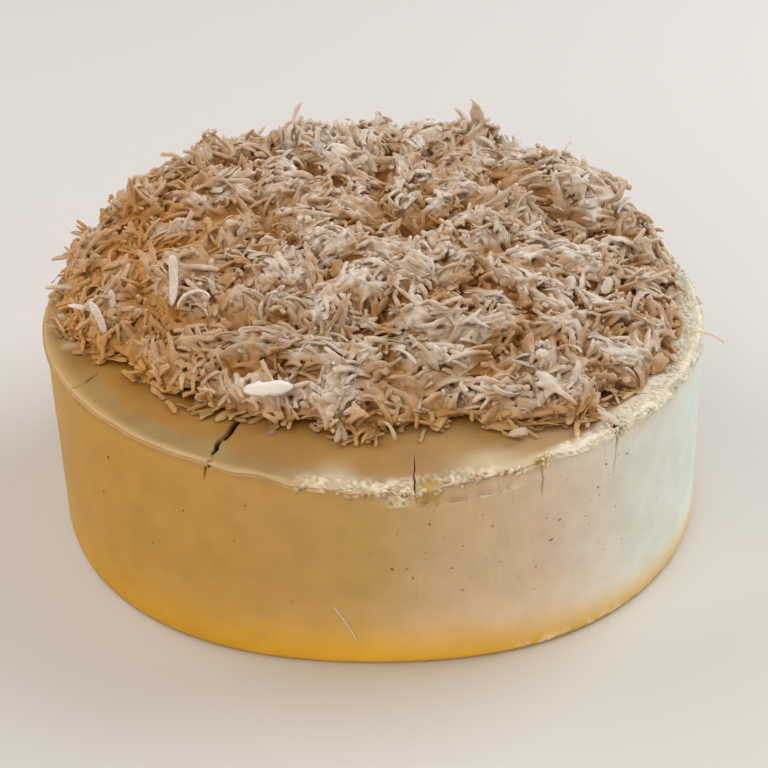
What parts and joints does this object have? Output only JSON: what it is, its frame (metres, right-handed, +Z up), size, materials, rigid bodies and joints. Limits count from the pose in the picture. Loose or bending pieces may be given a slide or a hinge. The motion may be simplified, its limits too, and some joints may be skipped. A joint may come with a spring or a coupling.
{
  "type": "coconut topped ondeh ondeh cake",
  "caption": "Round whole cake in palm sugar coloured frosting with a ragged top lip and small cracks, under a loose uneven heap of grated coconut.",
  "frame": {"origin": "middle of the flat underside of the cake, on the surface that it stands on", "axes": "+Z up out of the cake's top; -Y towards the front, the side with the sagged lip and the bare ledge; +X to the right as seen from the front"},
  "size_m": [0.2038, 0.2015, 0.0921],
  "materials": {
    "buttercream": "satin palm sugar buttercream, scraped smooth at the side and torn at the top lip",
    "grated_coconut": "moist grated coconut stained with palm sugar syrup, pale tips over brown shade"
  },
  "bodies": {
    "root": {"frosted_cake": "buttercream", "coconut_heap": "grated_coconut"}
  },
  "joints": []
}
